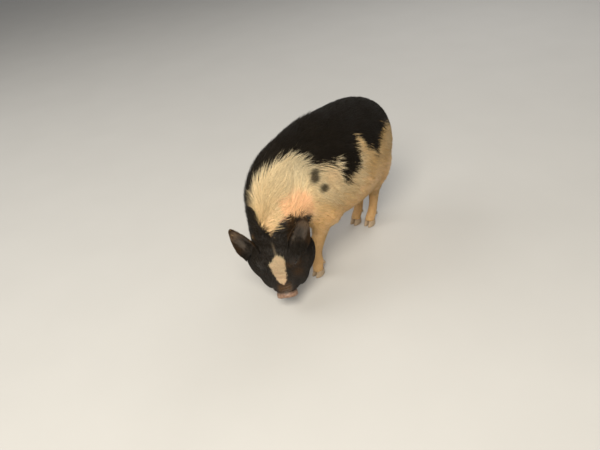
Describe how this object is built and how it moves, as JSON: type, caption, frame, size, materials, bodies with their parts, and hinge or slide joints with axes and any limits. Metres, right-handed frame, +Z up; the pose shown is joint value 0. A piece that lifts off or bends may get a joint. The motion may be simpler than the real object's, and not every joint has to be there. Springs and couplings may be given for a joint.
{
  "type": "sow",
  "caption": "Life-size still model of a black and cream sow with a long bristly neck mane, standing with her head lowered and turned to her left to feed",
  "frame": {"origin": "middle of the floor outline, on the floor under the four feet", "axes": "+Z up, -Y the way she faces, +X her left"},
  "size_m": [0.422, 0.8952, 0.6464],
  "materials": {
    "black_coat": "black hide with short glossy black bristles",
    "cream_mane": "long cream bristles lying back over pink hide",
    "pied_coat": "coarse coat, black over the back and cream over pink hide on the flanks",
    "leg_coat": "thin cream bristles over tan and pink hide",
    "ear_coat": "thin black hide, grey and nearly bare in the cup",
    "eye_gloss": "wet dark brown eye",
    "horn": "worn grey-brown horn"
  },
  "bodies": {
    "root": {"dewclaw_front_left_inner": "horn", "dewclaw_front_left_outer": "horn", "dewclaw_front_right_inner": "horn", "dewclaw_front_right_outer": "horn", "dewclaw_hind_left_inner": "horn", "dewclaw_hind_left_outer": "horn", "dewclaw_hind_right_inner": "horn", "dewclaw_hind_right_outer": "horn", "ear_left": "ear_coat", "ear_right": "ear_coat", "eye_left": "eye_gloss", "eye_right": "eye_gloss", "head": "black_coat", "hoof_front_left_inner": "horn", "hoof_front_left_outer": "horn", "hoof_front_right_inner": "horn", "hoof_front_right_outer": "horn", "hoof_hind_left_inner": "horn", "hoof_hind_left_outer": "horn", "hoof_hind_right_inner": "horn", "hoof_hind_right_outer": "horn", "leg_front_left": "leg_coat", "leg_front_right": "leg_coat", "leg_hind_left": "leg_coat", "leg_hind_right": "leg_coat", "neck": "cream_mane", "tail": "black_coat", "torso": "pied_coat"}
  },
  "joints": []
}
